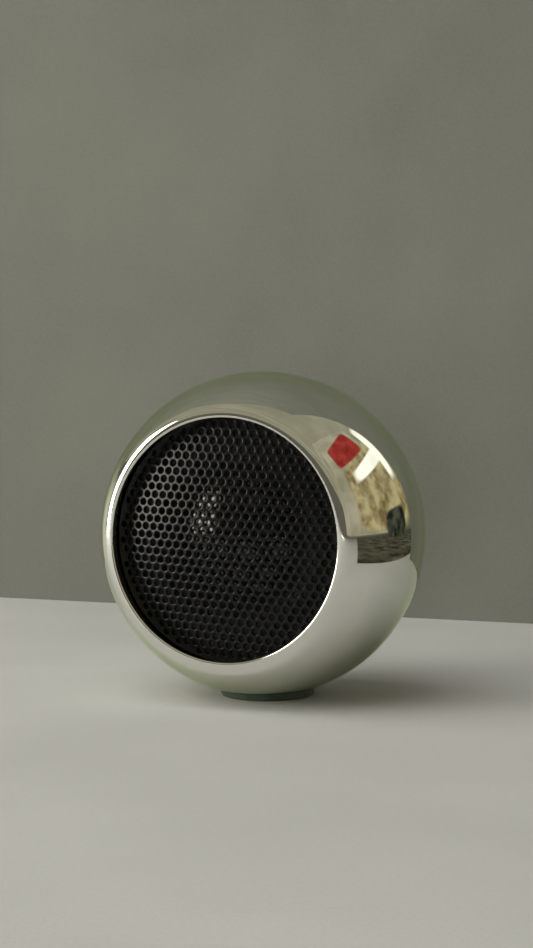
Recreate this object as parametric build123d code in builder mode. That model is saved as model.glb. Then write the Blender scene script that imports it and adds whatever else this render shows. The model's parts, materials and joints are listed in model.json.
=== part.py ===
"""Mini ball speaker: chrome ball housing, perforated grille, micro driver, battery and rear controls.

Millimetres, +Z up, front facing -Y. The origin is on the foot's underside, under the ball's centre.
Depths named "forward" are measured from the ball's centre towards the front, along -Y.
"""
import os
from math import asin, cos, degrees, hypot, radians, sin, sqrt, tan

from build123d import *

# ---------------------------------------------------------------- driving dimensions
ball_radius = 22.5
foot_drop = 0.2                 # the foot's underside, below the ball's lowest point
wall = 1.6

lip_round = 1.9                 # radius of the rounded shoulder round the front opening
lip_start = 53.0                # degrees from the front axis, where the ball turns into the lip
lip_radius = 16.1               # inner radius of the lip
lip_tip = 0.3                   # round on the lip's inner edge
lip_undercut = 130.0            # degrees that the tip turns through, from facing forward
recess_radius = 16.75           # the bore behind the lip, where the grille sits
grille_stop = 10.7              # step that stops the grille's flange
driver_bore = 17.1
clamp_face = 9.0                # flat face inside the front shell, level with the driver's flange

split_forward = -11.5           # where the two shells meet
tongue_depth = 1.0
tongue_middle = 18.6            # radius of the step in the joint
tongue_clearance = 0.05

rear_opening = 12.5             # radius of the opening at the back
rear_edge = 0.25
rear_seat_forward = -16.7
rear_flange_radius = 11.0
rear_flange_thickness = 1.3

foot_radius = 6.5
foot_height = 2.3
foot_place = (0, 1.5)           # set back from the ball's lowest point, near the centre of mass
foot_clearance = 0.05
foot_spigot_radius = 2.0
floor_radius = 8.0              # thick floor inside the ball, over the foot
floor_bottom = 1.7
floor_top = 3.8

grille_apex = 13.7
grille_dome = 67.0
grille_radius = 16.6
grille_flange = 17.0
grille_sheet = 0.4
grille_bend = 0.35
grille_skirt_forward = 10.2
grille_turn = -2.0              # degrees that the hole rows are turned
hole_pitch = 1.257
hole_radius = 0.43
hole_field = 15.76              # hole centres lie inside this radius

driver_forward = clamp_face
flange_thickness = 0.7
flange_radius = 16.9
clamp_inner = 13.7
clamp_outer = 18.5
clamp_thickness = 0.8
clamp_screw_circle = 18.0
clamp_screw_radius = 0.5
clamp_screw_angle = 90            # one at the top, so no head meets the thick floor
clamp_screw_hole = 1.6
clamp_screw_end = 10.4
clamp_head = 0.6
clamp_head_radius = 1.0
flange_front = driver_forward + flange_thickness
basket_floor = 3.9              # back face of the basket's floor
basket_sheet = 0.7
magnet_front = 2.5
magnet_back = -2.0
yoke_back = -3.6
pole_radius = 3.8
coil_clearance = 0.3

board_back = -13.0
board_thickness = 1.0
board_front = board_back + board_thickness
board_radius = 13.2
board_screw_circle = 11.6
board_screw_radius = 0.6
cover_front = rear_seat_forward
cover_thickness = 1.4
cover_back = cover_front - cover_thickness
cover_radius = rear_opening - 0.2
cover_screw_circle = 10.2
cover_screw_radius = 0.75
cover_boss_radius = 1.9
cover_boss_height = 2.8
board_post_radius = 1.6

button_place = (0, 2.6)
button_radius = 2.95
button_clearance = 0.25
switch_top = -15.0
plunger_top = -15.5
plunger_radius = 1.25
usb_place = (0, -5.6)
light_place = (5.6, 2.6)
microphone_place = (-5.8, 2.6)

terminal_angle = 120.0

# ---------------------------------------------------------------- frame
ball_height = ball_radius + foot_drop

front = Plane(origin=(0, 0, ball_height), x_dir=(1, 0, 0), z_dir=(0, -1, 0))
section = Plane(origin=(0, 0, ball_height), x_dir=(1, 0, 0), z_dir=(0, 0, -1))
driver_axis = Axis((0, 0, ball_height), (0, -1, 0))

os.makedirs("parts", exist_ok=True)


def save(piece, name):
    """Label a finished piece and write its STEP file."""
    piece.part.label = name
    export_step(piece.part, f"parts/{name}.step")


def ring(inner, outer, back, forward):
    """A flat ring round the driver's axis, between two depths."""
    with BuildPart() as piece:
        with BuildSketch(front.offset(back)):
            Circle(outer)
            if inner:
                Circle(inner, mode=Mode.SUBTRACT)
        extrude(amount=forward - back)
    return piece


def turned(points):
    """A closed outline of (radius, forward) points, turned round the driver's axis."""
    with BuildPart() as piece:
        with BuildSketch(section):
            with BuildLine():
                Polyline(*points, close=True)
            make_face()
        revolve(axis=driver_axis)
    return piece


def block(place, size, back, forward, corner=0.2):
    """A small package with rounded upright edges, standing between two depths."""
    with BuildPart() as piece:
        with BuildSketch(front.offset(back)):
            with Locations(place):
                RectangleRounded(*size, corner)
        extrude(amount=forward - back)
    return piece


def wires(routes, radius):
    """Round wires in one node, each following (x, y, forward) points with rounded corners."""
    with BuildPart() as piece:
        for route in routes:
            points = [front.from_local_coords(Vector(*point)) for point in route]
            with BuildLine() as path:
                FilletPolyline(*points, radius=3 * radius)
            with BuildSketch(Plane(path.wire() @ 0, z_dir=path.wire() % 0)):
                Circle(radius)
            sweep(path=path.wire())
    return piece


def polar(radius, angle):
    """The (x, y) place at a radius and angle round the driver's axis."""
    return (radius * cos(radians(angle)), radius * sin(radians(angle)))


# ---------------------------------------------------------------- front shell
inner_ball = ball_radius - wall
rear_flange_front = rear_seat_forward + rear_flange_thickness


def rim(radius, r):
    """Depth of a ball's surface, forward of its centre, at distance r from the axis."""
    return sqrt(radius**2 - r**2)


def turn(centre, radius, angle):
    """The section's point at an angle from straight forward, positive away from the axis."""
    return (centre[0] + radius * sin(radians(angle)), centre[1] + radius * cos(radians(angle)))


lip_centre = turn((0, 0), ball_radius - lip_round, lip_start)
lip_tip_angle = degrees(asin((lip_radius + lip_tip - lip_centre[0]) / (lip_round - lip_tip)))
lip_tip_centre = turn(lip_centre, lip_round - lip_tip, lip_tip_angle)
lip_start_point = turn((0, 0), ball_radius, lip_start)
lip_front_point = turn(lip_centre, lip_round, lip_tip_angle)
lip_back_point = turn(lip_tip_centre, lip_tip, -lip_undercut)
undercut_drop = (recess_radius - lip_back_point[0]) * tan(radians(180 - lip_undercut))
undercut_end = (recess_radius, lip_back_point[1] - undercut_drop)
split_step = split_forward + tongue_depth
front_split = (rim(ball_radius, split_forward), split_forward)
front_split_inside = (rim(inner_ball, split_step), split_step)

with BuildPart() as front_shell:
    with BuildSketch(section):
        with BuildLine():
            ThreePointArc(front_split, (ball_radius, 0), lip_start_point)
            ThreePointArc(
                lip_start_point,
                turn(lip_centre, lip_round, (lip_start + lip_tip_angle) / 2),
                lip_front_point,
            )
            ThreePointArc(
                lip_front_point,
                turn(lip_tip_centre, lip_tip, (lip_tip_angle - lip_undercut) / 2),
                lip_back_point,
            )
            Polyline(
                lip_back_point,
                undercut_end,
                (recess_radius, grille_stop),
                (driver_bore, grille_stop),
                (driver_bore, clamp_face),
                (rim(inner_ball, clamp_face), clamp_face),
            )
            ThreePointArc((rim(inner_ball, clamp_face), clamp_face), (inner_ball, 0), front_split_inside)
            Polyline(
                front_split_inside,
                (tongue_middle, split_step),
                (tongue_middle, split_forward),
                front_split,
            )
        make_face()
    revolve(axis=driver_axis)
    # thick floor with the foot's pocket and the hole for its spigot
    with BuildSketch(Plane.XY.offset(floor_bottom)):
        Circle(floor_radius)
    extrude(amount=floor_top - floor_bottom)
    with BuildSketch(Plane.XY):
        with Locations(foot_place):
            Circle(foot_radius + foot_clearance)
    extrude(amount=foot_height, mode=Mode.SUBTRACT)
    with BuildSketch(Plane.XY.offset(foot_height)):
        with Locations(foot_place):
            Circle(foot_spigot_radius + foot_clearance)
    extrude(amount=floor_top - foot_height, mode=Mode.SUBTRACT)
    with BuildSketch(front.offset(clamp_face)):
        with PolarLocations(clamp_screw_circle, 3, start_angle=clamp_screw_angle):
            Circle(clamp_screw_radius)
    extrude(amount=clamp_screw_hole, mode=Mode.SUBTRACT)
save(front_shell, "front_shell")

# ---------------------------------------------------------------- rear shell
tongue_inner = rim(inner_ball, split_forward)
tongue_tip = split_step - 2 * tongue_clearance
rear_edge_point = (rear_opening, -rim(ball_radius, rear_opening))
post_root = rear_flange_front - 0.5
with BuildPart() as rear_shell:
    with BuildSketch(section) as rear_outline:
        with BuildLine():
            ThreePointArc(rear_edge_point, turn((0, 0), ball_radius, 134), front_split)
            Polyline(
                front_split,
                (tongue_middle - tongue_clearance, split_forward),
                (tongue_middle - tongue_clearance, tongue_tip),
                (tongue_inner, tongue_tip),
                (tongue_inner, split_forward),
            )
            ThreePointArc(
                (tongue_inner, split_forward),
                turn((0, 0), inner_ball, 132),
                (rim(inner_ball, rear_flange_front), rear_flange_front),
            )
            Polyline(
                (rim(inner_ball, rear_flange_front), rear_flange_front),
                (rear_flange_radius, rear_flange_front),
                (rear_flange_radius, rear_seat_forward),
                (rear_opening, rear_seat_forward),
                rear_edge_point,
            )
        make_face()
        fillet(rear_outline.vertices().sort_by_distance(rear_edge_point)[0], rear_edge)
    revolve(axis=driver_axis)
    # bosses for the cover screws and posts for the circuit board
    with BuildSketch(front.offset(rear_seat_forward)):
        with PolarLocations(cover_screw_circle, 3, start_angle=90):
            Circle(cover_boss_radius)
    extrude(amount=cover_boss_height)
    with BuildSketch(front.offset(post_root)):
        with PolarLocations(board_screw_circle, 3, start_angle=30):
            Circle(board_post_radius)
    extrude(amount=board_back - post_root)
    with BuildSketch(front.offset(rear_seat_forward)):
        with PolarLocations(cover_screw_circle, 3, start_angle=90):
            Circle(cover_screw_radius)
    extrude(amount=cover_boss_height - 0.3, mode=Mode.SUBTRACT)
    with BuildSketch(front.offset(post_root)):
        with PolarLocations(board_screw_circle, 3, start_angle=30):
            Circle(board_screw_radius)
    extrude(amount=board_back - post_root, mode=Mode.SUBTRACT)
save(rear_shell, "rear_shell")

# ---------------------------------------------------------------- foot
with BuildPart() as foot_pad:
    with BuildSketch(Plane.XY):
        with Locations(foot_place):
            Circle(foot_radius)
    extrude(amount=foot_height)
    fillet(foot_pad.edges().sort_by(Axis.Z)[0], 0.3)
    with BuildSketch(Plane.XY.offset(foot_height)):
        with Locations(foot_place):
            Circle(foot_spigot_radius)
    extrude(amount=floor_top - foot_height + 0.6)
    chamfer(foot_pad.edges().sort_by(Axis.Z)[-1], 0.4)
save(foot_pad, "foot_pad")

# ---------------------------------------------------------------- grille
hole_centres = []
row_pitch = hole_pitch * sqrt(3) / 2
rows = int(hole_field / row_pitch) + 1
for row in range(-rows, rows + 1):
    for column in range(-rows, rows + 1):
        centre = ((column + row % 2 / 2) * hole_pitch, row * row_pitch)
        if hypot(*centre) <= hole_field:
            hole_centres.append(centre)


def dome(apex, bend, r):
    """Forward depth of a shallow dome at radius r."""
    return apex - bend + sqrt(bend**2 - r**2)


with BuildPart() as grille:
    inside_radius = grille_radius - grille_sheet
    inside_apex = grille_apex - grille_sheet
    inside_dome = grille_dome - grille_sheet
    edge = dome(grille_apex, grille_dome, grille_radius)
    inside_edge = dome(inside_apex, inside_dome, inside_radius)
    with BuildSketch(section) as grille_outline:
        with BuildLine():
            ThreePointArc(
                (0, grille_apex),
                (grille_radius / 2, dome(grille_apex, grille_dome, grille_radius / 2)),
                (grille_radius, edge),
            )
            Polyline(
                (grille_radius, edge),
                (grille_radius, grille_stop),
                (grille_flange, grille_stop),
                (grille_flange, grille_skirt_forward),
                (inside_radius, grille_skirt_forward),
                (inside_radius, inside_edge),
            )
            ThreePointArc(
                (inside_radius, inside_edge),
                (inside_radius / 2, dome(inside_apex, inside_dome, inside_radius / 2)),
                (0, inside_apex),
            )
            Line((0, inside_apex), (0, grille_apex))
        make_face()
        fillet(grille_outline.vertices().sort_by_distance((grille_radius, edge))[0], grille_bend)
    revolve(axis=driver_axis)
    with BuildSketch(front.offset(grille_stop).rotated((0, 0, grille_turn))):
        with Locations(*hole_centres):
            Circle(hole_radius)
    extrude(amount=grille_apex - grille_stop + 1, mode=Mode.SUBTRACT)
save(grille, "grille")

# ---------------------------------------------------------------- seal and clamp
save(ring(14.4, flange_radius, flange_front, grille_skirt_forward), "grille_gasket")

with BuildPart() as driver_clamp_ring:
    with BuildSketch(front.offset(clamp_face - clamp_thickness)):
        Circle(clamp_outer)
        Circle(clamp_inner, mode=Mode.SUBTRACT)
        with PolarLocations(clamp_screw_circle, 3, start_angle=clamp_screw_angle):
            SlotOverall(2.4, 2 * clamp_screw_radius + 0.2, mode=Mode.SUBTRACT)
    extrude(amount=clamp_thickness)
save(driver_clamp_ring, "driver_clamp_ring")

# ---------------------------------------------------------------- driver basket
with BuildPart() as driver_basket:
    with BuildSketch(section):
        with BuildLine():
            Polyline(
                (flange_radius, driver_forward),
                (flange_radius, flange_front),
                (12.9, flange_front),
                (10.5, basket_floor + basket_sheet),
                (10.3, basket_floor + basket_sheet),
                (10.3, 5.7),
                (9.3, 5.7),
                (9.3, basket_floor + basket_sheet),
                (6.0, basket_floor + basket_sheet),
                (6.0, basket_floor),
                (11.0, basket_floor),
                (13.4, driver_forward),
                close=True,
            )
        make_face()
    revolve(axis=driver_axis)
    with BuildSketch(front.offset(5.9)):
        with PolarLocations(12, 6, start_angle=30):
            Rectangle(4, 5.5)
    extrude(amount=2.4, mode=Mode.SUBTRACT)
save(driver_basket, "driver_basket")

# ---------------------------------------------------------------- moving diaphragm
cone = turned([(4.25, 6.2), (10.4, 9.4), (11.1, 9.4), (11.1, 9.7), (10.3, 9.7), (4.25, 6.55)])
save(cone, "cone")

cap_radius = 8.4
cap_dome = 22.0
cap_sheet = 0.3
cap_edge = 8.75
with BuildPart() as dust_cap:
    cap_apex = cap_edge + cap_dome - sqrt(cap_dome**2 - cap_radius**2)
    with BuildSketch(section):
        with BuildLine():
            ThreePointArc(
                (0, cap_apex),
                (cap_radius / 2, dome(cap_apex, cap_dome, cap_radius / 2)),
                (cap_radius, cap_edge),
            )
            Line((cap_radius, cap_edge), (cap_radius, cap_edge + cap_sheet))
            ThreePointArc(
                (cap_radius, cap_edge + cap_sheet),
                (cap_radius / 2, dome(cap_apex + cap_sheet, cap_dome, cap_radius / 2)),
                (0, cap_apex + cap_sheet),
            )
            Line((0, cap_apex + cap_sheet), (0, cap_apex))
        make_face()
    revolve(axis=driver_axis)
save(dust_cap, "dust_cap")

former_inside = pole_radius + coil_clearance
former_outside = former_inside + 0.15
winding_outside = former_outside + 0.35
save(ring(former_inside, former_outside, 0.9, 6.9), "voice_coil_former")
save(ring(former_outside, winding_outside, 1.7, 4.7), "voice_coil_winding")

# ---------------------------------------------------------------- suspension
roll_centre = 12.2
roll_radius = 1.35
rubber = 0.25
with BuildPart() as surround:
    with BuildSketch(section):
        with Locations((roll_centre, flange_front)):
            Circle(roll_radius)
            Circle(roll_radius - rubber, mode=Mode.SUBTRACT)
            Rectangle(4 * roll_radius, 2 * roll_radius, align=(Align.CENTER, Align.MAX), mode=Mode.SUBTRACT)
        with Locations((roll_centre + roll_radius - rubber, flange_front)):
            Rectangle(1.0, rubber, align=Align.MIN)
        with Locations((10.3, flange_front)):
            Rectangle(roll_centre - roll_radius + rubber - 10.3, rubber, align=Align.MIN)
    revolve(axis=driver_axis)
save(surround, "surround")

spider_waves = 4
spider_wave = 0.3
spider_inside = former_outside
spider_landing = 9.5
with BuildPart() as spider:
    with BuildSketch(section):
        with BuildLine():
            step = (spider_landing - spider_inside) / (2 * spider_waves)
            crests = [(spider_inside, 5.7)]
            for wave in range(1, 2 * spider_waves):
                crests.append((spider_inside + wave * step, 5.7 + spider_wave * (wave % 2)))
            crests.append((spider_landing, 5.7))
            crests.append((10.2, 5.7))
            thick = [(r, forward + 0.2) for r, forward in reversed(crests)]
            Polyline(*crests, *thick, close=True)
        make_face()
    revolve(axis=driver_axis)
save(spider, "spider")

# ---------------------------------------------------------------- magnet system
gap_outside = winding_outside + coil_clearance
save(ring(gap_outside, 9.5, magnet_front, basket_floor), "top_plate")
save(ring(5.6, 10.5, magnet_back, magnet_front), "magnet")
yoke = turned([
    (1.0, basket_floor),
    (pole_radius, basket_floor),
    (pole_radius, magnet_back),
    (9.8, magnet_back),
    (9.8, yoke_back + 0.4),
    (9.4, yoke_back),
    (1.0, yoke_back),
])
save(yoke, "yoke")

# ---------------------------------------------------------------- driver terminals and leads
terminal_back = basket_floor - 0.7
with BuildPart() as terminal_board:
    with BuildSketch(front.offset(terminal_back)):
        with PolarLocations(11.3, 1, start_angle=terminal_angle):
            Rectangle(3.2, 5.6)
    extrude(amount=basket_floor - terminal_back)
save(terminal_board, "terminal_board")

lead_routes = []
for side in (-1, 1):
    near = polar(12.3, terminal_angle + side * 5.5)
    far = polar(12.0, terminal_angle + side * 8)
    lead_routes.append([
        (*near, terminal_back),
        (*near, terminal_back - 3),
        (*polar(12.9, terminal_angle + side * 7), -4),
        (*far, board_front + 3),
        (*far, board_front),
    ])
save(wires(lead_routes, 0.4), "speaker_leads")

# ---------------------------------------------------------------- battery
pad_front = board_front + 1.0
battery_front = pad_front + 4.5
save(block((0, 0), (15, 12), board_front, pad_front), "battery_pad")
with BuildPart() as battery_cell:
    with BuildSketch(front.offset(pad_front)):
        RectangleRounded(20, 16, 1.2)
    extrude(amount=battery_front - pad_front)
    fillet(battery_cell.faces().filter_by(Axis.Y).edges(), 0.6)
save(battery_cell, "battery_cell")

connector_place = (4.8, 10.3)
connector_front = board_front + 1.6
save(block(connector_place, (4.2, 3.0), board_front, connector_front), "battery_connector")
battery_routes = []
for side in (-1, 1):
    x = connector_place[0] + side * 0.9
    battery_routes.append([
        (x, 8.0, -8.2),
        (x, connector_place[1], -8.2),
        (x, connector_place[1], connector_front),
    ])
save(wires(battery_routes, 0.35), "battery_leads")

# ---------------------------------------------------------------- circuit board
with BuildPart() as circuit_board:
    with BuildSketch(front.offset(board_back)):
        Circle(board_radius)
        with PolarLocations(board_screw_circle, 3, start_angle=30):
            Circle(board_screw_radius + 0.1, mode=Mode.SUBTRACT)
    extrude(amount=board_thickness)
save(circuit_board, "circuit_board")

save(block((-6.7, -2.1), (5, 5), board_back - 0.85, board_back), "radio_chip")
save(block((-10.2, 1.5), (1.6, 3.2), board_back - 0.8, board_back), "crystal")
save(block(light_place, (1.6, 0.8), board_back - 0.6, board_back, 0.1), "status_led")

with BuildPart() as amplifier_chip:
    with BuildSketch(front.offset(board_back - 1.5)):
        with Locations((6.4, -0.6)):
            Rectangle(4.0, 5.0)
    extrude(amount=1.3)
    with BuildSketch(front.offset(board_back - 0.8)):
        with Locations((6.4, -0.6)):
            with GridLocations(5.0, 1.27, 2, 4):
                Rectangle(1.2, 0.4)
    extrude(amount=0.8)
save(amplifier_chip, "amplifier_chip")

with BuildPart() as capacitors:
    with BuildSketch(front.offset(board_back - 0.4)):
        with Locations((5.4, 7.4), (-5.4, 7.4)):
            RectangleRounded(4.2, 4.2, 0.6)
    extrude(amount=0.4)
    with BuildSketch(front.offset(board_back - 2.2)):
        with Locations((5.4, 7.4), (-5.4, 7.4)):
            Circle(1.9)
    extrude(amount=1.8)
save(capacitors, "capacitors")

with BuildPart() as microphone:
    with BuildSketch(front.offset(board_back - 1.5)):
        with Locations(microphone_place):
            Circle(2.0)
    extrude(amount=1.5)
    with BuildSketch(front.offset(board_back - 1.5)):
        with Locations(microphone_place):
            Circle(0.5)
    extrude(amount=0.5, mode=Mode.SUBTRACT)
save(microphone, "microphone")

# ---------------------------------------------------------------- charging inlet
usb_size = (7.5, 2.6)
usb_wall = 0.3
usb_inner = (usb_size[0] - 2 * usb_wall, usb_size[1] - 2 * usb_wall)
with BuildPart() as usb_socket:
    with BuildSketch(front.offset(cover_back)):
        with Locations(usb_place):
            RectangleRounded(*usb_size, 0.7)
            RectangleRounded(*usb_inner, 0.45, mode=Mode.SUBTRACT)
    extrude(amount=board_back - cover_back)
save(usb_socket, "usb_socket")

with BuildPart() as usb_tongue:
    with BuildSketch(front.offset(board_back - 1.2)):
        with Locations(usb_place):
            RectangleRounded(*usb_inner, 0.45)
    extrude(amount=1.2)
    with BuildSketch(front.offset(cover_back + 0.6)):
        with Locations(usb_place):
            Rectangle(5.2, 0.6)
    extrude(amount=board_back - 1.2 - cover_back - 0.6)
save(usb_tongue, "usb_tongue")

# ---------------------------------------------------------------- switch and button
with BuildPart() as tact_switch:
    with BuildSketch(front.offset(switch_top)):
        with Locations(button_place):
            RectangleRounded(5.2, 5.2, 0.5)
    extrude(amount=board_back - switch_top)
    with BuildSketch(front.offset(switch_top)):
        with Locations(button_place):
            Circle(plunger_radius + 0.1)
    extrude(amount=board_back - switch_top - 0.4, mode=Mode.SUBTRACT)
save(tact_switch, "tact_switch")

with BuildPart() as switch_plunger:
    with BuildSketch(front.offset(plunger_top)):
        with Locations(button_place):
            Circle(plunger_radius)
    extrude(amount=1.6)
save(switch_plunger, "switch_plunger")

button_flange_back = cover_front + 0.05
with BuildPart() as power_button:
    with BuildSketch(front.offset(cover_back - 0.3)):
        with Locations(button_place):
            Circle(button_radius)
    extrude(amount=button_flange_back - cover_back + 0.3)
    fillet(power_button.faces().sort_by(Axis.Y)[-1].edges(), 0.4)
    with BuildSketch(front.offset(button_flange_back)):
        with Locations(button_place):
            Circle(button_radius + 0.9)
    extrude(amount=0.7)
    with BuildSketch(front.offset(button_flange_back + 0.7)):
        with Locations(button_place):
            Circle(1.0)
    extrude(amount=plunger_top - button_flange_back - 0.7)
save(power_button, "power_button")

# ---------------------------------------------------------------- rear cover
light_radius = 0.6
with BuildPart() as rear_cover:
    with BuildSketch(front.offset(cover_back)):
        Circle(cover_radius)
        with Locations(button_place):
            Circle(button_radius + button_clearance, mode=Mode.SUBTRACT)
        with Locations(usb_place):
            RectangleRounded(usb_size[0] + 0.4, usb_size[1] + 0.4, 0.9, mode=Mode.SUBTRACT)
        with Locations(light_place):
            Circle(light_radius, mode=Mode.SUBTRACT)
        with Locations(microphone_place):
            Circle(0.5, mode=Mode.SUBTRACT)
        with PolarLocations(cover_screw_circle, 3, start_angle=90):
            Circle(cover_screw_radius + 0.15, mode=Mode.SUBTRACT)
    extrude(amount=cover_thickness)
    with BuildSketch(front.offset(cover_back)):
        with PolarLocations(cover_screw_circle, 3, start_angle=90):
            Circle(1.65)
    extrude(amount=0.75, mode=Mode.SUBTRACT)
    outer_rim = rear_cover.faces().sort_by(Axis.Y)[-1].outer_wire().edges()
    fillet(outer_rim, 0.3)
save(rear_cover, "rear_cover")

with BuildPart() as light_pipe:
    with BuildSketch(front.offset(cover_back)):
        with Locations(light_place):
            Circle(light_radius)
    extrude(amount=board_back - 0.9 - cover_back)
    with BuildSketch(front.offset(cover_front)):
        with Locations(light_place):
            Circle(light_radius + 0.4)
    extrude(amount=0.8)
save(light_pipe, "light_pipe")


# ---------------------------------------------------------------- screws
def screws(circle, start_angle, head_back, head_radius, head_height, shank_radius, shank_end):
    """Three cross-head screws in one node; the shank leaves the head towards shank_end."""
    direction = 1 if shank_end > head_back else -1
    with BuildPart() as piece:
        with BuildSketch(front.offset(head_back)):
            with PolarLocations(circle, 3, start_angle=start_angle):
                Circle(head_radius)
        extrude(amount=direction * head_height)
        with BuildSketch(front.offset(head_back)):
            with PolarLocations(circle, 3, start_angle=start_angle):
                Circle(shank_radius)
        extrude(amount=shank_end - head_back)
        with BuildSketch(front.offset(head_back)):
            with PolarLocations(circle, 3, start_angle=start_angle):
                Rectangle(1.6, 0.35)
                Rectangle(0.35, 1.6)
        extrude(amount=direction * 0.35, mode=Mode.SUBTRACT)
    return piece


save(screws(cover_screw_circle, 90, cover_back + 0.1, 1.45, 0.65, cover_screw_radius, -14.4),
     "rear_cover_screws")
clamp_back = clamp_face - clamp_thickness - clamp_head
save(screws(clamp_screw_circle, clamp_screw_angle, clamp_back, clamp_head_radius, clamp_head,
            clamp_screw_radius, clamp_screw_end), "clamp_screws")
save(screws(board_screw_circle, 30, board_front + 0.7, 1.25, 0.7, board_screw_radius, -15.2),
     "circuit_board_screws")
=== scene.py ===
import json
from math import asin, atan2, cos, degrees, hypot, pi, radians, sin, sqrt, tan

import bmesh
import bpy
import numpy as np
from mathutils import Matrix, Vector
from mathutils.geometry import delaunay_2d_cdt

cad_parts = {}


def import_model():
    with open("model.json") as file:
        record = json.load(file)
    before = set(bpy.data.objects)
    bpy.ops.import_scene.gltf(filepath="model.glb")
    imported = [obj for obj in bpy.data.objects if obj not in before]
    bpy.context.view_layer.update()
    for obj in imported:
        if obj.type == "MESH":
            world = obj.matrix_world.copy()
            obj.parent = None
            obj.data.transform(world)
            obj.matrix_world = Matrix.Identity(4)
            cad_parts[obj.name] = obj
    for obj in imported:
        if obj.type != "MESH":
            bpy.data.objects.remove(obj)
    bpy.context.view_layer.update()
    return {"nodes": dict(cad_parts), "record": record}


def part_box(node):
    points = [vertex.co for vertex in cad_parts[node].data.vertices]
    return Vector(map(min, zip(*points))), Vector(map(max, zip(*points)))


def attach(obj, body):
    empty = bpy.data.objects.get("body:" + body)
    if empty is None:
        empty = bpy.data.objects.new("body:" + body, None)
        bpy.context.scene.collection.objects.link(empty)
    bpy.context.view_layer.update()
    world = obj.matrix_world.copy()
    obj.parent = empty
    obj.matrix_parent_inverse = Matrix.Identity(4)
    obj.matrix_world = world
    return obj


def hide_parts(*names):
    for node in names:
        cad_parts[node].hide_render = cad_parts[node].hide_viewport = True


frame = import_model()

nodes = frame["nodes"]
MM = 0.001


# ---------------------------------------------------------------- where things are
shell_low, shell_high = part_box("front_shell")
ball_radius = (shell_high.x - shell_low.x) / 2 / MM
ball_height = shell_high.z / MM - ball_radius
grille_low, grille_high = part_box("grille")
grille_apex = -grille_low.y / MM
grille_skirt = -grille_high.y / MM
grille_flange = (grille_high.x - grille_low.x) / 2 / MM

# the housing's section, in millimetres from the ball's centre
wall = 1.6
lip_round = 1.9
lip_start = 53.0
lip_radius = 16.1
lip_tip = 0.3
lip_undercut = 130.0
recess_radius = 16.75
grille_stop = 10.7
driver_bore = 17.1
clamp_face = 9.0
split_forward = -11.5
tongue_depth = 1.0
tongue_middle = 18.6
tongue_clearance = 0.05
rear_opening = 12.5
rear_edge = 0.25
rear_seat = -16.7
rear_flange_radius = 11.0
rear_flange_thickness = 1.3

grille_dome = 67.0
grille_radius = 16.6
grille_sheet = 0.4
grille_bend = 0.3
grille_turn = radians(-2.0)
hole_pitch = 1.257
hole_radius = 0.43
hole_field = 15.76
hole_roll = 0.18                  # how far the rounded edge reaches into the web
hole_roll_depth = 0.08
hole_sides = 18


def place(x, y, forward):
    """A point given in millimetres from the ball's centre, in the frame's metres."""
    return Vector((x * MM, -forward * MM, (ball_height + y) * MM))


def turn(centre, radius, angle):
    """The section's point at an angle from straight forward, positive away from the axis."""
    return (centre[0] + radius * sin(radians(angle)), centre[1] + radius * cos(radians(angle)))


def rim(radius, r):
    """Depth of a ball's surface at distance r from the axis."""
    return sqrt(radius**2 - r**2)


def dome(apex, bend, r):
    """Forward depth of a shallow dome at radius r."""
    return apex - bend + sqrt(bend**2 - r**2)


# ---------------------------------------------------------------- mesh helpers
def arc(centre, radius, start, end, step):
    """Section points on an arc, both ends included."""
    count = max(2, int(abs(end - start) / step) + 1)
    return [turn(centre, radius, start + (end - start) * i / count) for i in range(count + 1)]


def chain(*runs):
    """Joins runs of section points end to end; returns the outline and its sharp corners."""
    outline, sharp = [], set()
    for run in runs:
        if outline and hypot(run[0][0] - outline[-1][0], run[0][1] - outline[-1][1]) < 1e-4:
            run = run[1:]
        outline += run
        sharp.add(len(outline) - 1)
    if hypot(outline[0][0] - outline[-1][0], outline[0][1] - outline[-1][1]) < 1e-4:
        outline.pop()
        sharp = {0 if i == len(outline) else i for i in sharp}
    return outline, sharp


def lathe(name, outline, sharp, segments):
    """A closed section turned round the driver's axis, with smooth faces and its corners kept crisp."""
    bm = bmesh.new()
    rings = []
    for r, forward in outline:
        rings.append([
            bm.verts.new(place(r * cos(2 * pi * i / segments), r * sin(2 * pi * i / segments), forward))
            for i in range(segments)
        ])
    count = len(rings)
    for k in range(count):
        here, there = rings[k], rings[(k + 1) % count]
        for i in range(segments):
            j = (i + 1) % segments
            bm.faces.new((here[i], here[j], there[j], there[i])).smooth = True
    bm.edges.ensure_lookup_table()
    for k in sharp:
        for i in range(segments):
            edge = bm.edges.get((rings[k][i], rings[k][(i + 1) % segments]))
            edge.smooth = False
    bmesh.ops.recalc_face_normals(bm, faces=bm.faces)
    return finish_mesh(name, bm)


def finish_mesh(name, bm):
    """Turns a bmesh into a scene object."""
    mesh = bpy.data.meshes.new(name)
    bm.to_mesh(mesh)
    bm.free()
    piece = bpy.data.objects.new(name, mesh)
    bpy.context.scene.collection.objects.link(piece)
    return piece


def stand_for(piece, node, material):
    """A detailed piece takes a CAD node's place, body and material slot."""
    piece.data.materials.append(material)
    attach(piece, "housing")
    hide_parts(node)
    return piece


# ---------------------------------------------------------------- node helpers
def srgb(red, green, blue):
    """A colour given in screen values from 0 to 255, as linear light."""
    out = []
    for value in (red, green, blue):
        v = value / 255
        out.append(v / 12.92 if v <= 0.04045 else ((v + 0.055) / 1.055) ** 2.4)
    return (*out, 1.0)


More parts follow.
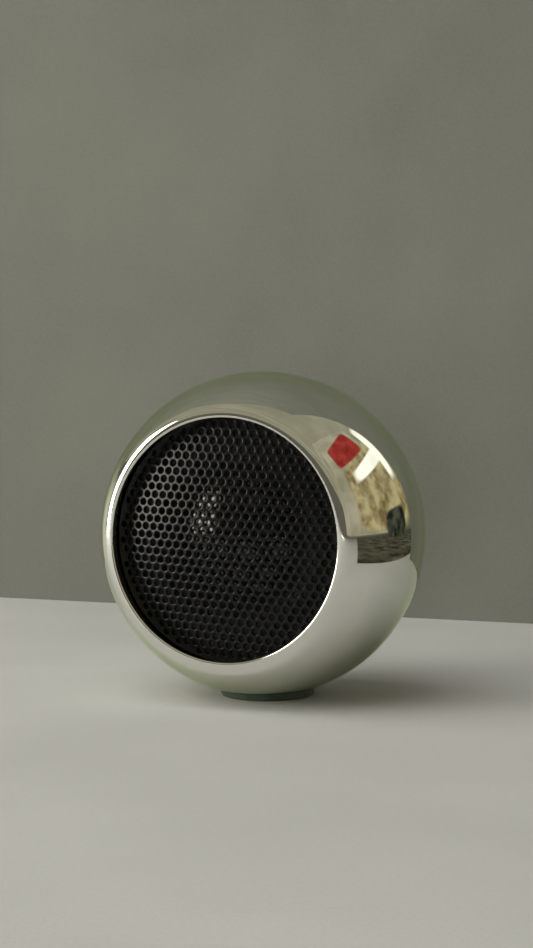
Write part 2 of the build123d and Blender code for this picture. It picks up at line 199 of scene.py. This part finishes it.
class Tree:
    """Small wrapper that builds a material's node tree."""

    def __init__(self, name):
        self.material = bpy.data.materials.new(name)
        self.material.use_nodes = True
        self.nodes = self.material.node_tree.nodes
        self.links = self.material.node_tree.links
        self.shader = self.nodes["Principled BSDF"]
        self.output = self.nodes["Material Output"]
        self.place = self.nodes.new("ShaderNodeTexCoord").outputs["Object"]

    def set(self, **values):
        """Sets the shader's sockets by name, with _ for a space."""
        for key, value in values.items():
            self.shader.inputs[key.replace("_", " ")].default_value = value

    def link(self, source, socket):
        self.links.new(source, self.shader.inputs[socket])

    def stretched(self, scale):
        """The object's coordinates, stretched along each axis."""
        node = self.nodes.new("ShaderNodeMapping")
        node.inputs["Scale"].default_value = scale
        self.links.new(self.place, node.inputs["Vector"])
        return node.outputs["Vector"]

    def noise(self, size, detail=4.0, rough=0.55, vector=None):
        """Noise with features about size millimetres across."""
        node = self.nodes.new("ShaderNodeTexNoise")
        node.inputs["Scale"].default_value = 1 / (size * MM)
        node.inputs["Detail"].default_value = detail
        node.inputs["Roughness"].default_value = rough
        self.links.new(vector or self.place, node.inputs["Vector"])
        return node.outputs["Fac"]

    def cells(self, size, vector=None):
        """Distance to the nearest cell centre, for grains about size millimetres across."""
        node = self.nodes.new("ShaderNodeTexVoronoi")
        node.inputs["Scale"].default_value = 1 / (size * MM)
        self.links.new(vector or self.place, node.inputs["Vector"])
        return node.outputs["Distance"]

    def bands(self, size, direction="Z", kind="BANDS", warp=0.0):
        """Soft stripes or rings, size millimetres apart."""
        node = self.nodes.new("ShaderNodeTexWave")
        node.wave_type = kind
        if kind == "BANDS":
            node.bands_direction = direction
        else:
            node.rings_direction = direction
        node.inputs["Scale"].default_value = 0.3142 / (size * MM)
        node.inputs["Distortion"].default_value = warp
        self.links.new(self.place, node.inputs["Vector"])
        return node.outputs["Fac"]

    def blend(self, factor, low, high, start=0.3, end=0.7):
        """A colour that goes from low to high with a factor."""
        node = self.nodes.new("ShaderNodeValToRGB")
        first, last = node.color_ramp.elements
        first.position, first.color = start, low
        last.position, last.color = end, high
        self.links.new(factor, node.inputs["Fac"])
        return node.outputs["Color"]

    def fit(self, factor, low, high):
        """A number that goes from low to high with a factor."""
        node = self.nodes.new("ShaderNodeMapRange")
        node.inputs["To Min"].default_value = low
        node.inputs["To Max"].default_value = high
        self.links.new(factor, node.inputs["Value"])
        return node.outputs["Result"]

    def math(self, operation, first, second):
        node = self.nodes.new("ShaderNodeMath")
        node.operation = operation
        for socket, value in zip(node.inputs, (first, second)):
            if isinstance(value, (int, float)):
                socket.default_value = value
            else:
                self.links.new(value, socket)
        return node.outputs["Value"]

    def bump(self, height, depth, strength=1.0):
        """Relief about depth millimetres deep."""
        node = self.nodes.new("ShaderNodeBump")
        node.inputs["Distance"].default_value = depth * MM
        node.inputs["Strength"].default_value = strength
        self.links.new(height, node.inputs["Height"])
        self.links.new(node.outputs["Normal"], self.shader.inputs["Normal"])


def chrome():
    """Mirror chrome: a warm silver that turns green at grazing angles, with faint wipe marks."""
    t = Tree("chrome_plate")
    smear = t.noise(6.0, 3.0, 0.5, t.stretched((1.0, 2.5, 0.6)))
    t.link(t.blend(smear, (0.80, 0.80, 0.76, 1), (0.84, 0.84, 0.80, 1)), "Base Color")
    t.link(t.fit(t.noise(0.9, 5.0, 0.6), 0.025, 0.06), "Roughness")
    t.set(Metallic=1.0, Specular_Tint=(0.78, 0.86, 0.66, 1))
    t.bump(t.noise(2.2, 2.0, 0.4), 0.0006)
    return t.material


def black_paint():
    """Semi-gloss black paint on perforated steel, faintly mottled."""
    t = Tree("black_steel")
    t.link(t.blend(t.noise(0.5, 5.0), srgb(5, 5, 4), srgb(14, 14, 12)), "Base Color")
    t.link(t.fit(t.noise(0.25, 4.0), 0.20, 0.32), "Roughness")
    t.set(Specular_IOR_Level=0.26, Coat_Weight=0.04, Coat_Roughness=0.2)
    t.bump(t.noise(0.09, 4.0, 0.6), 0.004)
    return t.material


def moulded(name, dark, light, gloss=(0.4, 0.55), grain=0.12, depth=0.006):
    """Moulded plastic with a fine pebbled grain."""
    t = Tree(name)
    t.link(t.blend(t.noise(1.5, 4.0), dark, light), "Base Color")
    t.link(t.fit(t.noise(0.4, 3.0), *gloss), "Roughness")
    t.bump(t.cells(grain), depth)
    return t.material


def rubber(name, dark, light, grain=0.18, depth=0.008):
    """Matt rubber or foam with a soft bloom and fine pores."""
    t = Tree(name)
    t.link(t.blend(t.noise(0.9, 5.0), dark, light), "Base Color")
    t.link(t.fit(t.noise(0.5, 3.0), 0.62, 0.85), "Roughness")
    t.set(Sheen_Weight=0.12, Sheen_Roughness=0.5)
    t.bump(t.noise(grain, 6.0, 0.65), depth)
    return t.material


def metal(name, dark, light, gloss=(0.22, 0.4), stretch=(0.15, 1.0, 1.0), grain=0.12, depth=0.002):
    """Plated or brushed metal with fine lines along one direction."""
    t = Tree(name)
    lines = t.noise(grain, 4.0, 0.6, t.stretched(stretch))
    t.link(t.blend(t.noise(1.2, 3.0), dark, light), "Base Color")
    t.link(t.fit(lines, *gloss), "Roughness")
    t.set(Metallic=1.0)
    t.bump(lines, depth)
    return t.material


def turned_metal(name, dark, light):
    """Metal with the fine rings that turning leaves round the driver's axis."""
    t = Tree(name)
    rings = t.bands(0.22, "Y", "RINGS", 0.6)
    t.link(t.blend(t.noise(1.6, 3.0), dark, light), "Base Color")
    t.link(t.fit(rings, 0.25, 0.42), "Roughness")
    t.set(Metallic=1.0)
    t.bump(rings, 0.003)
    return t.material


def ferrite():
    """Sintered ferrite: dark grey, speckled, with ground faces."""
    t = Tree("magnet_ferrite")
    t.link(t.blend(t.noise(0.2, 6.0, 0.7), srgb(38, 39, 41), srgb(72, 72, 75)), "Base Color")
    t.link(t.fit(t.noise(0.3, 4.0), 0.45, 0.7), "Roughness")
    t.set(Metallic=0.35)
    t.bump(t.cells(0.16), 0.01)
    return t.material


def pressed_paper():
    """Pressed black paper cone with short fibres."""
    t = Tree("cone_paper")
    fibres = t.noise(0.35, 6.0, 0.7, t.stretched((0.4, 1.0, 1.6)))
    t.link(t.blend(fibres, srgb(14, 14, 14), srgb(32, 32, 31)), "Base Color")
    t.link(t.fit(t.noise(0.6, 3.0), 0.75, 0.95), "Roughness")
    t.bump(fibres, 0.02)
    return t.material


def cap_film():
    """The dust cap's glossy black film."""
    t = Tree("cap_film")
    t.link(t.blend(t.noise(1.4, 4.0), srgb(9, 9, 10), srgb(20, 20, 22)), "Base Color")
    t.link(t.fit(t.noise(0.7, 3.0), 0.07, 0.18), "Roughness")
    t.set(Coat_Weight=0.2, Coat_Roughness=0.08)
    t.bump(t.noise(1.1, 3.0), 0.004)
    return t.material


def winding():
    """Enamelled copper turns side by side."""
    t = Tree("coil_copper")
    turns = t.bands(0.12, "Y")
    t.link(t.blend(turns, (0.36, 0.12, 0.05, 1), (0.78, 0.36, 0.18, 1), 0.1, 0.8), "Base Color")
    t.link(t.fit(t.noise(0.5, 3.0), 0.22, 0.36), "Roughness")
    t.set(Metallic=1.0, Coat_Weight=0.4, Coat_Roughness=0.1)
    t.bump(turns, 0.05)
    return t.material


def woven(name, dark, light, pitch=0.28):
    """Plain-weave cloth stiffened with resin."""
    t = Tree(name)
    weave = t.math("MULTIPLY", t.bands(pitch, "X"), t.bands(pitch, "Z"))
    t.link(t.blend(weave, dark, light, 0.05, 0.75), "Base Color")
    t.link(t.fit(t.noise(0.5, 3.0), 0.6, 0.85), "Roughness")
    t.set(Sheen_Weight=0.15)
    t.bump(weave, 0.04)
    return t.material


def foil():
    """The battery pouch: aluminium laminate with soft creases."""
    t = Tree("battery_foil")
    creases = t.noise(3.2, 4.0, 0.6)
    t.link(t.blend(creases, srgb(160, 162, 165), srgb(205, 207, 209)), "Base Color")
    t.link(t.fit(t.noise(0.5, 4.0), 0.22, 0.4), "Roughness")
    t.set(Metallic=0.85)
    t.bump(creases, 0.12)
    return t.material


def laminate():
    """Green solder mask with the copper's faint tracks under it."""
    t = Tree("board_laminate")
    tracks = t.math("MAXIMUM", t.bands(1.1, "X", warp=2.0), t.bands(1.6, "Z", warp=2.5))
    t.link(t.blend(tracks, srgb(12, 74, 40), srgb(28, 108, 62), 0.72, 0.8), "Base Color")
    t.link(t.fit(t.noise(0.7, 3.0), 0.22, 0.36), "Roughness")
    t.set(Coat_Weight=0.3, Coat_Roughness=0.15)
    t.bump(tracks, 0.02)
    return t.material


def clear_resin(name, tint, glow=0.35):
    """Clear or frosted plastic that lets some light through."""
    t = Tree(name)
    t.link(t.blend(t.noise(0.5, 3.0), tuple(0.85 * c for c in tint[:3]) + (1,), tint), "Base Color")
    t.link(t.fit(t.noise(0.3, 3.0), 0.18, 0.34), "Roughness")
    t.set(Transmission_Weight=glow, IOR=1.49)
    t.bump(t.noise(0.3, 3.0), 0.003)
    return t.material


def finishes():
    """Every material slot of the record with its finish."""
    lead = dict(gloss=(0.25, 0.4), grain=0.3, depth=0.003)
    return {
        "chrome_plate": chrome(),
        "black_steel": black_paint(),
        "foot_rubber": rubber("foot_rubber", srgb(38, 46, 36), srgb(56, 66, 52)),
        "cover_plastic": moulded("cover_plastic", srgb(34, 34, 35), srgb(46, 46, 48)),
        "button_plastic": moulded(
            "button_plastic", srgb(28, 28, 30), srgb(40, 40, 42), (0.2, 0.32), 0.3, 0.003
        ),
        "light_plastic": clear_resin("light_plastic", (0.82, 0.88, 0.92, 1), 0.5),
        "screw_steel": metal("screw_steel", (0.45, 0.45, 0.45, 1), (0.62, 0.62, 0.61, 1)),
        "gasket_foam": rubber("gasket_foam", srgb(28, 28, 28), srgb(44, 44, 44), 0.12, 0.03),
        "clamp_plastic": moulded("clamp_plastic", srgb(40, 40, 41), srgb(54, 54, 56)),
        "basket_steel": metal("basket_steel", srgb(40, 40, 44), srgb(66, 66, 70), (0.4, 0.55)),
        "surround_rubber": rubber("surround_rubber", srgb(26, 26, 27), srgb(42, 42, 43)),
        "cone_paper": pressed_paper(),
        "cap_film": cap_film(),
        "former_film": moulded("former_film", (0.38, 0.18, 0.05, 1), (0.52, 0.26, 0.08, 1), (0.25, 0.4)),
        "coil_copper": winding(),
        "spider_cloth": woven("spider_cloth", (0.24, 0.16, 0.06, 1), (0.56, 0.42, 0.20, 1)),
        "magnet_steel": turned_metal("magnet_steel", (0.42, 0.42, 0.42, 1), (0.58, 0.58, 0.57, 1)),
        "magnet_ferrite": ferrite(),
        "terminal_fibre": woven("terminal_fibre", (0.20, 0.12, 0.05, 1), (0.36, 0.24, 0.12, 1), 0.2),
        "lead_black": moulded("lead_black", srgb(24, 24, 24), srgb(38, 38, 38), **lead),
        "lead_red": moulded("lead_red", (0.38, 0.015, 0.012, 1), (0.56, 0.03, 0.02, 1), **lead),
        "battery_foil": foil(),
        "pad_foam": rubber("pad_foam", srgb(190, 190, 184), srgb(214, 214, 208), 0.15, 0.04),
        "connector_nylon": moulded("connector_nylon", srgb(214, 210, 196), srgb(230, 227, 214)),
        "board_laminate": laminate(),
        "chip_black": moulded(
            "chip_black", srgb(30, 30, 31), srgb(44, 44, 45), (0.45, 0.6), 0.06, 0.004
        ),
        "can_metal": metal("can_metal", (0.62, 0.62, 0.62, 1), (0.74, 0.74, 0.74, 1)),
        "microphone_metal": metal("microphone_metal", (0.55, 0.55, 0.54, 1), (0.68, 0.68, 0.66, 1)),
        "led_resin": clear_resin("led_resin", (0.90, 0.88, 0.72, 1)),
        "inlet_steel": metal("inlet_steel", (0.55, 0.55, 0.55, 1), (0.70, 0.70, 0.69, 1), (0.18, 0.3)),
        "tongue_plastic": moulded("tongue_plastic", srgb(22, 22, 23), srgb(34, 34, 35)),
        "switch_plastic": moulded("switch_plastic", srgb(40, 40, 41), srgb(56, 56, 57)),
        "plunger_plastic": moulded("plunger_plastic", (0.40, 0.04, 0.03, 1), (0.54, 0.07, 0.05, 1)),
    }


def dress_nodes(looks):
    """Gives every CAD node the finish of its material slot."""
    for row in frame["record"]["subparts"]:
        mesh = nodes[row["node"]].data
        mesh.materials.clear()
        mesh.materials.append(looks[row["material_slot"]])


# ---------------------------------------------------------------- housing
def front_shell(material):
    """The ball's front two thirds: rounded lip, undercut recess, stepped bore and joint."""
    inner_ball = ball_radius - wall
    split_step = split_forward + tongue_depth
    lip_centre = turn((0, 0), ball_radius - lip_round, lip_start)
    tip_angle = degrees(asin((lip_radius + lip_tip - lip_centre[0]) / (lip_round - lip_tip)))
    tip_centre = turn(lip_centre, lip_round - lip_tip, tip_angle)
    tip_back = turn(tip_centre, lip_tip, -lip_undercut)
    drop = (recess_radius - tip_back[0]) * tan(radians(180 - lip_undercut))
    split_angle = degrees(atan2(rim(ball_radius, split_forward), split_forward))
    inside_split = degrees(atan2(rim(inner_ball, split_step), split_step))
    inside_clamp = degrees(atan2(rim(inner_ball, clamp_face), clamp_face))
    skin = arc((0, 0), ball_radius, split_angle, lip_start, 1.0)
    skin += arc(lip_centre, lip_round, lip_start, tip_angle, 2.5)[1:]
    skin += arc(tip_centre, lip_tip, tip_angle, -lip_undercut, 10)[1:]
    outline, sharp = chain(
        skin,
        [tip_back, (recess_radius, tip_back[1] - drop)],
        [(recess_radius, tip_back[1] - drop), (recess_radius, grille_stop)],
        [(recess_radius, grille_stop), (driver_bore, grille_stop)],
        [(driver_bore, grille_stop), (driver_bore, clamp_face)],
        [(driver_bore, clamp_face), (rim(inner_ball, clamp_face), clamp_face)],
        arc((0, 0), inner_ball, inside_clamp, inside_split, 2.0),
        [(rim(inner_ball, split_step), split_step), (tongue_middle, split_step)],
        [(tongue_middle, split_step), (tongue_middle, split_forward)],
        [(tongue_middle, split_forward), skin[0]],
    )
    piece = lathe("front_shell_chrome", outline, sharp, 320)
    return stand_for(piece, "front_shell", material)


def rear_shell(material):
    """The ball's rear third with its joint and the seat for the cover."""
    inner_ball = ball_radius - wall
    tongue_tip = split_forward + tongue_depth - 2 * tongue_clearance
    flange_front = rear_seat + rear_flange_thickness
    split_angle = degrees(atan2(rim(ball_radius, split_forward), split_forward))
    tongue_inner = rim(inner_ball, split_forward)
    edge_angle = degrees(atan2(rear_opening + rear_edge, -rim(ball_radius, rear_opening + rear_edge)))
    corner = turn((0, 0), ball_radius - rear_edge, edge_angle)
    round_centre = (rear_opening + rear_edge, corner[1])
    skin = arc((0, 0), ball_radius, split_angle, edge_angle, 1.0)
    skin += arc(round_centre, rear_edge, edge_angle, 270, 12)[1:]
    outline, sharp = chain(
        skin,
        [skin[-1], (rear_opening, rear_seat)],
        [(rear_opening, rear_seat), (rear_flange_radius, rear_seat)],
        [(rear_flange_radius, rear_seat), (rear_flange_radius, flange_front)],
        [(rear_flange_radius, flange_front), (rim(inner_ball, flange_front), flange_front)],
        arc((0, 0), inner_ball, degrees(atan2(rim(inner_ball, flange_front), flange_front)),
            degrees(atan2(tongue_inner, split_forward)), 2.0),
        [(tongue_inner, split_forward), (tongue_inner, tongue_tip)],
        [(tongue_inner, tongue_tip), (tongue_middle - tongue_clearance, tongue_tip)],
        [
            (tongue_middle - tongue_clearance, tongue_tip),
            (tongue_middle - tongue_clearance, split_forward),
        ],
        [(tongue_middle - tongue_clearance, split_forward), skin[0]],
    )
    piece = lathe("rear_shell_chrome", outline, sharp, 320)
    return stand_for(piece, "rear_shell", material)


# ---------------------------------------------------------------- grille
def hole_centres():
    """Centres of the holes, in rows a hexagon apart, turned as the sheet sits."""
    row_pitch = hole_pitch * sqrt(3) / 2
    rows = int(hole_field / row_pitch) + 1
    centres = []
    for row in range(-rows, rows + 1):
        for column in range(-rows, rows + 1):
            x, y = (column + row % 2 / 2) * hole_pitch, row * row_pitch
            if hypot(x, y) <= hole_field:
                centres.append((
                    x * cos(grille_turn) - y * sin(grille_turn),
                    x * sin(grille_turn) + y * cos(grille_turn),
                ))
    return np.array(centres)


def ring_points(centres, radius):
    """Points round every hole, hole by hole; radius is one number or one per hole."""
    angles = np.arange(hole_sides) * 2 * pi / hole_sides
    circle = np.column_stack([np.cos(angles), np.sin(angles)])
    return (centres[:, None, :] + circle[None] * np.reshape(radius, (-1, 1, 1))).reshape(-1, 2)


def web(centres, radius, edge_radius, edge_sides):
    """Triangles of the flat web between round holes, inside a round edge."""
    holes = ring_points(centres, radius)
    angles = np.arange(edge_sides) * 2 * pi / edge_sides
    outside = np.column_stack([np.cos(angles), np.sin(angles)]) * edge_radius
    points = np.vstack([holes, outside])
    loops = [range(k * hole_sides, (k + 1) * hole_sides) for k in range(len(centres))]
    loops.append(range(len(holes), len(points)))
    edges = [(loop[i], loop[(i + 1) % len(loop)]) for loop in loops for i in range(len(loop))]
    result = delaunay_2d_cdt([Vector(p) for p in points], edges, [], 0, 1e-6)
    source = [ids[0] for ids in result[3]]
    triangles = []
    for face in result[2]:
        corners = [source[v] for v in face]
        owners = {c // hole_sides if c < len(holes) else -1 for c in corners}
        if len(owners) > 1 or -1 in owners:
            triangles.append(corners)
    return points, np.array(triangles)


def grille(material):
    """The perforated sheet: shallow dome, rolled hole edges, bent rim, skirt and flange."""
    centres = hole_centres()
    edge_sides = 240
    edge_radius = grille_radius - grille_bend
    inside_radius = grille_radius - grille_sheet
    room = edge_radius - np.hypot(centres[:, 0], centres[:, 1]) - hole_radius - 0.01
    roll = np.minimum(hole_roll, room)
    front_points, front_faces = web(centres, hole_radius + roll, edge_radius, edge_sides)
    back_points, back_faces = web(centres, hole_radius, inside_radius - 0.002, edge_sides)
    holes = len(centres) * hole_sides
    layers, faces = [], []

    def add(points, depth, apex, bend):
        """Adds points on a dome, sunk by depth; returns the first one's number."""
        first = sum(len(layer) for layer in layers)
        r2 = (points**2).sum(axis=1)
        forward = apex - bend + np.sqrt(bend**2 - r2) - depth
        layers.append(np.column_stack([points[:, 0], -forward, ball_height + points[:, 1]]))
        return first

    first_front = add(front_points, 0, grille_apex, grille_dome)
    faces += [tuple(f) for f in front_faces + first_front]
    rings = [first_front]
    for angle in (22, 45, 68, 90):
        points = ring_points(centres, hole_radius + roll * (1 - sin(radians(angle))))
        depth = hole_roll_depth * (1 - cos(radians(angle)))
        rings.append(add(points, depth, grille_apex, grille_dome))
    first_back = add(back_points, 0, grille_apex - grille_sheet, grille_dome - grille_sheet)
    faces += [tuple(f) for f in back_faces[:, ::-1] + first_back]
    rings.append(first_back)
    for upper, lower in zip(rings, rings[1:]):
        for start in range(0, holes, hole_sides):
            for i in range(hole_sides):
                a, b = start + i, start + (i + 1) % hole_sides
                faces.append((upper + a, upper + b, lower + b, lower + a))
    # the bent rim, skirt and flange join the two webs' outer edges
    edge_forward = dome(grille_apex, grille_dome, edge_radius)
    bend_centre = (edge_radius, edge_forward - grille_bend)
    profile = arc(bend_centre, grille_bend, 14, 90, 15)
    profile += [
        (grille_radius, grille_stop),
        (grille_flange, grille_stop),
        (grille_flange, grille_skirt),
        (inside_radius, grille_skirt),
    ]
    angles = np.arange(edge_sides) * 2 * pi / edge_sides
    loops = [first_front + holes]
    for r, forward in profile:
        loops.append(sum(len(layer) for layer in layers))
        layers.append(np.column_stack([
            r * np.cos(angles), np.full(edge_sides, -forward), ball_height + r * np.sin(angles)
        ]))
    loops.append(first_back + holes)
    for upper, lower in zip(loops, loops[1:]):
        for i in range(edge_sides):
            j = (i + 1) % edge_sides
            faces.append((upper + i, lower + i, lower + j, upper + j))
    mesh = bpy.data.meshes.new("grille_perforated")
    mesh.from_pydata((np.vstack(layers) * MM).tolist(), [], faces)
    piece = bpy.data.objects.new("grille_perforated", mesh)
    bpy.context.scene.collection.objects.link(piece)
    bm = bmesh.new()
    bm.from_mesh(mesh)
    bmesh.ops.recalc_face_normals(bm, faces=bm.faces)
    sharp_angle = radians(40)
    for face in bm.faces:
        face.smooth = True
    for edge in bm.edges:
        edge.smooth = edge.is_manifold and edge.calc_face_angle(0) < sharp_angle
    bm.to_mesh(mesh)
    bm.free()
    return stand_for(piece, "grille", material)


# ---------------------------------------------------------------- stage
def sheet(name, corners, material):
    """A flat four-sided piece of the stage."""
    mesh = bpy.data.meshes.new(name)
    mesh.from_pydata([Vector(c) * MM for c in corners], [], [(0, 1, 2, 3)])
    piece = bpy.data.objects.new(name, mesh)
    piece.data.materials.append(material)
    bpy.context.scene.collection.objects.link(piece)
    return piece


def paper(name, dark, light, see_through_back):
    """Matt paper with a fine fibre grain in the given colours: pale for the floor, darkened as painted
    shade for the backdrop; the backdrop's back lets the camera see through.
    """
    t = Tree(name)
    cloud = t.noise(38.0, 3.0, 0.5)
    fibres = t.noise(0.55, 6.0, 0.65)
    t.link(t.blend(t.math("ADD", t.math("MULTIPLY", cloud, 0.6), t.math("MULTIPLY", fibres, 0.4)),
                   dark, light, 0.35, 0.65), "Base Color")
    t.set(Roughness=0.9, Specular_IOR_Level=0.2)
    t.bump(fibres, 0.05, 0.6)
    if see_through_back:
        geometry = t.nodes.new("ShaderNodeNewGeometry")
        clear = t.nodes.new("ShaderNodeBsdfTransparent")
        mix = t.nodes.new("ShaderNodeMixShader")
        t.links.new(geometry.outputs["Backfacing"], mix.inputs[0])
        t.links.new(t.shader.outputs[0], mix.inputs[1])
        t.links.new(clear.outputs[0], mix.inputs[2])
        t.links.new(mix.outputs[0], t.output.inputs["Surface"])
    return t.material


def edge_fade(t, steepness):
    """One in the middle of an upright card, falling to nothing at its edges."""
    place_on_card = t.nodes.new("ShaderNodeSeparateXYZ")
    coordinates = t.nodes.new("ShaderNodeTexCoord")
    t.links.new(coordinates.outputs["Generated"], place_on_card.inputs[0])
    ramps = []
    for axis in ("X", "Z"):
        along = place_on_card.outputs[axis]
        ramps.append(t.math("MULTIPLY", along, t.math("SUBTRACT", 1.0, along)))
    return t.math("MINIMUM", t.math("MULTIPLY", t.math("MULTIPLY", *ramps), steepness), 1.0)


def glow(name, dark, light, strength=1.0, size=60.0, steepness=0.0):
    """A light-giving card, mottled like a blurred room; with a steepness its edges fade out."""
    t = Tree(name)
    emission = t.nodes.new("ShaderNodeEmission")
    emission.inputs["Strength"].default_value = strength
    t.links.new(t.blend(t.noise(size, 4.0, 0.55), dark, light, 0.38, 0.62), emission.inputs["Color"])
    t.links.new(emission.outputs[0], t.output.inputs["Surface"])
    if steepness:
        clear = t.nodes.new("ShaderNodeBsdfTransparent")
        mix = t.nodes.new("ShaderNodeMixShader")
        t.links.new(edge_fade(t, steepness), mix.inputs[0])
        t.links.new(clear.outputs[0], mix.inputs[1])
        t.links.new(emission.outputs[0], mix.inputs[2])
        t.links.new(mix.outputs[0], t.output.inputs["Surface"])
    return t.material


def only_reflected(piece):
    """Keeps a card out of the camera's own view, so that it shows in reflections alone."""
    piece.visible_camera = False
    piece.visible_shadow = False
    piece.visible_diffuse = False
    return piece


def card(name, azimuth, elevation, material, distance=600):
    """An upright card that fills a span of directions as seen from the ball; azimuth 0 is the front."""
    corners = []
    for a, e in ((0, 0), (1, 0), (1, 1), (0, 1)):
        angle, rise = radians(azimuth[a]), radians(elevation[e])
        corners.append((
            distance * sin(angle), -distance * cos(angle), ball_height + distance * tan(rise)
        ))
    return only_reflected(sheet(name, corners, material))


def stage():
    """Pale paper floor, a backdrop of the same paper darkened as painted shade, and the plain cards of a
    warm room on the right.
    """
    far = 1500
    wall_distance = 92
    wall_height = 500
    wall_end, wall_top_end = 78, 90          # the backdrop's right edge leans a little
    paper_edge = 90
    table_front = -10
    lift = 0.5
    floor = paper("paper_floor", srgb(197, 197, 193), srgb(207, 207, 203), False)
    # the backdrop is the floor's paper in darker colours: painted shade standing in for the wall getting
    # less light than the floor
    back = paper("paper_back_painted_shade", srgb(108, 109, 102), srgb(118, 119, 111), True)
    sheet("floor", [(-far, -far, 0), (far, -far, 0), (far, far, 0), (-far, far, 0)], floor)
    sheet("backdrop", [
        (-far, wall_distance, 0), (wall_end, wall_distance, 0),
        (wall_top_end, wall_distance, wall_height), (-far, wall_distance, wall_height),
    ], back)
    dark = glow("table_dark", srgb(42, 42, 32), srgb(92, 90, 72), 1.0, 40)
    only_reflected(sheet("table", [
        (paper_edge, table_front, lift), (far, table_front, lift),
        (far, far, lift), (paper_edge, far, lift),
    ], dark))
    beige = glow("room_beige", srgb(146, 141, 118), srgb(178, 172, 148), 1.0, 400)
    ceiling = glow("room_ceiling", srgb(140, 137, 116), srgb(160, 157, 136), 1.0, 900)
    cream = glow("room_cream", srgb(118, 102, 66), srgb(188, 176, 132), 1.0, 110, 90)
    white = glow("room_white", srgb(238, 238, 222), srgb(255, 255, 242), 1.35, 90, 50)
    shade = glow("room_dark", srgb(30, 34, 28), srgb(78, 80, 66), 1.0, 50, 60)
    red = glow("room_red", srgb(134, 40, 34), srgb(166, 62, 54), 1.0, 80, 160)
    side = glow("left_white", srgb(196, 196, 176), srgb(228, 227, 206), 1.0, 60, 16)
    top, reach = 1700, 5000
    only_reflected(sheet("ceiling", [
        (-reach, -reach, top), (-reach, reach, top), (reach, reach, top), (reach, -reach, top),
    ], ceiling))
    card("room_side", (45, 135), (0, 50), beige, 1300)
    card("room_wall", (92, 150), (0, 38), cream, 800)
    card("room_beam", (100, 145), (27, 34), white, 540)
    card("room_post", (137, 145), (18, 46), white, 530)
    card("room_bench", (116, 140), (-3, 10), shade, 520)
    card("room_panel", (92, 130), (38, 51), red, 500)
    card("left_card", (-128, -56), (-10, 14), side, 110)


def light(name, azimuth, elevation, distance, size, power, colour, in_reflections=True):
    """A soft light that looks at the ball from an azimuth: 0 in front, positive to the right."""
    data = bpy.data.lights.new(name, "AREA")
    data.shape = "RECTANGLE"
    data.size, data.size_y = size[0] * MM, size[1] * MM
    data.energy = power
    data.color = colour[:3]
    lamp = bpy.data.objects.new(name, data)
    angle, rise = radians(azimuth), radians(elevation)
    middle = place(0, 0, 0)
    offset = Vector((sin(angle) * cos(rise), -cos(angle) * cos(rise), sin(rise))) * distance * MM
    lamp.location = middle + offset
    lamp.rotation_euler = (-offset).to_track_quat("-Z", "Y").to_euler()
    lamp.visible_glossy = in_reflections
    bpy.context.scene.collection.objects.link(lamp)
    return lamp


def world():
    """A plain beige room light."""
    scene = bpy.context.scene
    scene.world = bpy.data.worlds.new("room")
    scene.world.use_nodes = True
    background = scene.world.node_tree.nodes["Background"]
    background.inputs["Color"].default_value = srgb(168, 164, 146)
    background.inputs["Strength"].default_value = 0.3


def camera():
    """The camera at the photograph's viewing angle."""
    scene = bpy.context.scene
    data = bpy.data.cameras.new("camera")
    data.lens = 63.42
    data.sensor_width = 36.0
    data.clip_start = 0.01
    view = bpy.data.objects.new("camera", data)
    azimuth, pitch = radians(22.65), radians(2.14)
    forward = Vector((-sin(azimuth) * cos(pitch), cos(azimuth) * cos(pitch), -sin(pitch)))
    view.location = Vector((89.75, -213.92, 39.62)) * MM
    view.rotation_euler = forward.to_track_quat("-Z", "Y").to_euler()
    scene.collection.objects.link(view)
    scene.camera = view


looks = finishes()
dress_nodes(looks)
front_shell(looks["chrome_plate"])
rear_shell(looks["chrome_plate"])
grille(looks["black_steel"])
stage()
world()
light("window", -49, 6, 520, (170, 340), 2.0, srgb(255, 253, 240))
light("front_top", -40, 62, 600, (760, 640), 2.7, srgb(255, 254, 252), False)
light("front_low", 15, 1, 600, (90, 90), 0.85, srgb(255, 252, 248), False)
camera()
bpy.context.scene.view_settings.view_transform = "Standard"
